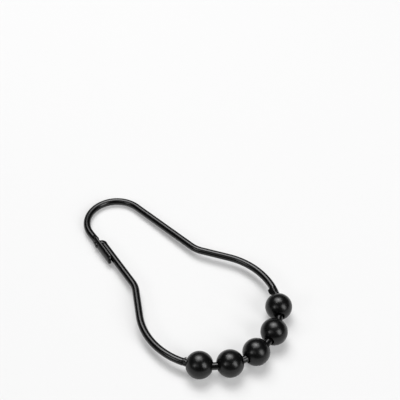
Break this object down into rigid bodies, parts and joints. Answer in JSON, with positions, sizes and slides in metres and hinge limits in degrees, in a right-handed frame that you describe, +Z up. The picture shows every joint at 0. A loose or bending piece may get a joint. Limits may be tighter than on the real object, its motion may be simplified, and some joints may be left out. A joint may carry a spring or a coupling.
{
  "type": "shower curtain hook",
  "caption": "Pear-shaped wire ring with rolling balls on its wide bow, a narrow loop for a curtain eyelet, and a snap clasp in one leg.",
  "frame": {"origin": "centre of the bounding box in plan, on the surface that the hook lies on", "axes": "+X along the ring's axis from the narrow loop to the balls, +Y across it towards the leg without the clasp, +Z up, almost square to the ring's plane"},
  "size_m": [0.0802, 0.0436, 0.0083],
  "materials": {
    "wire_black": "satin black finish on spring-steel wire",
    "ball_black": "gloss black finish on drilled steel balls"
  },
  "bodies": {
    "ring": {"hook_wire": "wire_black"},
    "ball_1": {"roller_ball_1": "ball_black"},
    "ball_2": {"roller_ball_2": "ball_black"},
    "ball_3": {"roller_ball_3": "ball_black"},
    "ball_4": {"roller_ball_4": "ball_black"},
    "ball_5": {"roller_ball_5": "ball_black"}
  },
  "joints": [
    {"name": "ball_1_roll", "type": "hinge", "parent": "ring", "child": "ball_1", "pos_m": [0.02907, -0.01551, 0.00402], "axis": [-0.753, -0.6574, -0.0296], "continuous": true},
    {"name": "ball_2_roll", "type": "hinge", "parent": "ring", "child": "ball_2", "pos_m": [0.03426, -0.00854, 0.00423], "axis": [-0.4147, -0.9098, -0.0163], "continuous": true},
    {"name": "ball_3_roll", "type": "hinge", "parent": "ring", "child": "ball_3", "pos_m": [0.03611, -0.0002, 0.0043], "axis": [-0.0096, -1, -0.0004], "continuous": true},
    {"name": "ball_4_roll", "type": "hinge", "parent": "ring", "child": "ball_4", "pos_m": [0.03422, 0.00863, 0.00423], "axis": [0.4191, -0.9078, 0.0165], "continuous": true},
    {"name": "ball_5_roll", "type": "hinge", "parent": "ring", "child": "ball_5", "pos_m": [0.02846, 0.01602, 0.004], "axis": [0.7778, -0.6278, 0.0306], "continuous": true}
  ]
}
